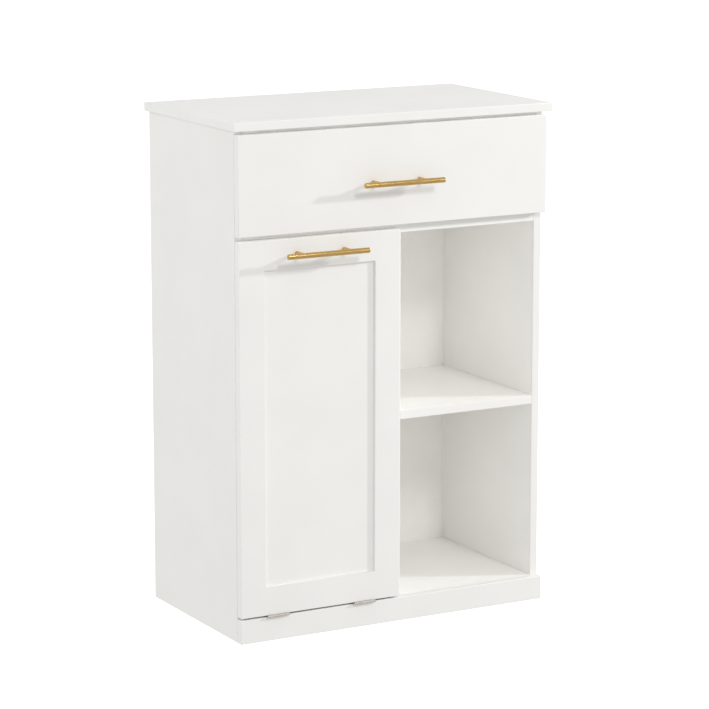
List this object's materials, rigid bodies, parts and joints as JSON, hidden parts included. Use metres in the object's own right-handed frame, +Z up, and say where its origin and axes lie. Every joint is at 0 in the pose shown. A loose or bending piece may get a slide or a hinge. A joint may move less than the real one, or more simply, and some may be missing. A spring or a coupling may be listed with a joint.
{
  "type": "laundry cabinet",
  "caption": "White laundry cabinet with a full-width drawer, a tilting hamper door with a cloth bag, and open bays beside it.",
  "frame": {"origin": "on the floor, under the middle of the cabinet's outline with its handles", "axes": "+X to the right, +Y to the back, +Z up; the fronts face -Y"},
  "size_m": [0.66, 0.403, 0.95],
  "materials": {
    "painted_mdf": "satin white paint on MDF",
    "melamine_board": "white melamine-faced chipboard",
    "lacquered_hardboard": "white lacquered hardboard",
    "zinc_plated_steel": "bright zinc plate",
    "nickel_plated_steel": "satin nickel plate",
    "beech": "bare fluted beech",
    "white_powder_coat": "white epoxy powder coat on steel",
    "nylon": "natural nylon",
    "white_abs": "moulded ABS",
    "ferrite": "sintered ferrite",
    "clear_rubber": "clear soft dots",
    "brushed_brass": "brushed brass-coloured plate",
    "cotton_canvas": "plain-woven cotton"
  },
  "bodies": {
    "case": {"top_panel": "painted_mdf", "left_side_panel": "painted_mdf", "right_side_panel": "painted_mdf", "base_panel": "melamine_board", "centre_divider": "melamine_board", "drawer_deck": "melamine_board", "shelf": "melamine_board", "plinth": "painted_mdf", "rear_foot_rail": "melamine_board", "drawer_top_rail": "melamine_board", "hamper_back_panel": "lacquered_hardboard", "shelf_back_panel": "lacquered_hardboard", "drawer_bay_back_panel": "lacquered_hardboard", "case_cam_locks": "zinc_plated_steel", "case_cam_bolts": "zinc_plated_steel", "case_dowels": "beech", "case_long_screws": "zinc_plated_steel", "case_wood_screws": "zinc_plated_steel", "left_case_runner": "white_powder_coat", "right_case_runner": "white_powder_coat", "case_roller_rivets": "zinc_plated_steel", "hinge_case_leaves": "nickel_plated_steel", "hinge_pins": "nickel_plated_steel", "catch_housing": "white_abs", "catch_pole_plates": "zinc_plated_steel", "catch_magnet": "ferrite", "stay_peg": "nickel_plated_steel", "case_bumpers": "clear_rubber"},
    "drawer": {"drawer_front": "painted_mdf", "drawer_left_side": "melamine_board", "drawer_right_side": "melamine_board", "drawer_back": "melamine_board", "drawer_bottom": "lacquered_hardboard", "drawer_cam_locks": "zinc_plated_steel", "drawer_cam_bolts": "zinc_plated_steel", "drawer_dowels": "beech", "drawer_back_screws": "zinc_plated_steel", "drawer_wood_screws": "zinc_plated_steel", "left_drawer_runner": "white_powder_coat", "right_drawer_runner": "white_powder_coat", "drawer_roller_rivets": "zinc_plated_steel", "drawer_handle_bar": "brushed_brass", "drawer_handle_posts": "brushed_brass", "drawer_handle_screws": "zinc_plated_steel"},
    "hamper_door": {"door_panel": "painted_mdf", "hinge_door_leaves": "nickel_plated_steel", "door_wood_screws": "zinc_plated_steel", "door_handle_bar": "brushed_brass", "door_handle_posts": "brushed_brass", "door_handle_screws": "zinc_plated_steel", "bag_frame": "white_powder_coat", "laundry_bag": "cotton_canvas", "stay_quadrant": "nickel_plated_steel", "catch_strike_plate": "zinc_plated_steel"},
    "left_front_roller": {"left_front_roller": "nylon"},
    "right_front_roller": {"right_front_roller": "nylon"},
    "left_rear_roller": {"left_rear_roller": "nylon"},
    "right_rear_roller": {"right_rear_roller": "nylon"}
  },
  "joints": [
    {"name": "drawer_slide", "type": "slide", "parent": "case", "child": "drawer", "axis": [0, -1, 0], "range_m": [0, 0.22]},
    {"name": "door_tilt", "type": "hinge", "parent": "case", "child": "hamper_door", "pos_m": [-0.156, -0.167, 0.04665], "axis": [1, 0, 0], "range_deg": [0, 38]},
    {"name": "left_front_roller_spin", "type": "hinge", "parent": "case", "child": "left_front_roller", "pos_m": [-0.2983, -0.1325, 0.7752], "axis": [1, 0, 0], "range_deg": [-10, 1281]},
    {"name": "left_rear_roller_spin", "type": "hinge", "parent": "drawer", "child": "left_rear_roller", "pos_m": [-0.29645, 0.137, 0.7768], "axis": [1, 0, 0], "range_deg": [-10, 1028]},
    {"name": "right_front_roller_spin", "type": "hinge", "parent": "case", "child": "right_front_roller", "pos_m": [0.2983, -0.1325, 0.7752], "axis": [1, 0, 0], "range_deg": [-10, 1281]},
    {"name": "right_rear_roller_spin", "type": "hinge", "parent": "drawer", "child": "right_rear_roller", "pos_m": [0.29645, 0.137, 0.7768], "axis": [1, 0, 0], "range_deg": [-10, 1028]}
  ],
  "couplings": [
    {"joint": "left_front_roller_spin", "follows": "drawer_slide", "rad_per_m": 100},
    {"joint": "left_rear_roller_spin", "follows": "drawer_slide", "rad_per_m": 80},
    {"joint": "right_front_roller_spin", "follows": "drawer_slide", "rad_per_m": 100},
    {"joint": "right_rear_roller_spin", "follows": "drawer_slide", "rad_per_m": 80}
  ]
}
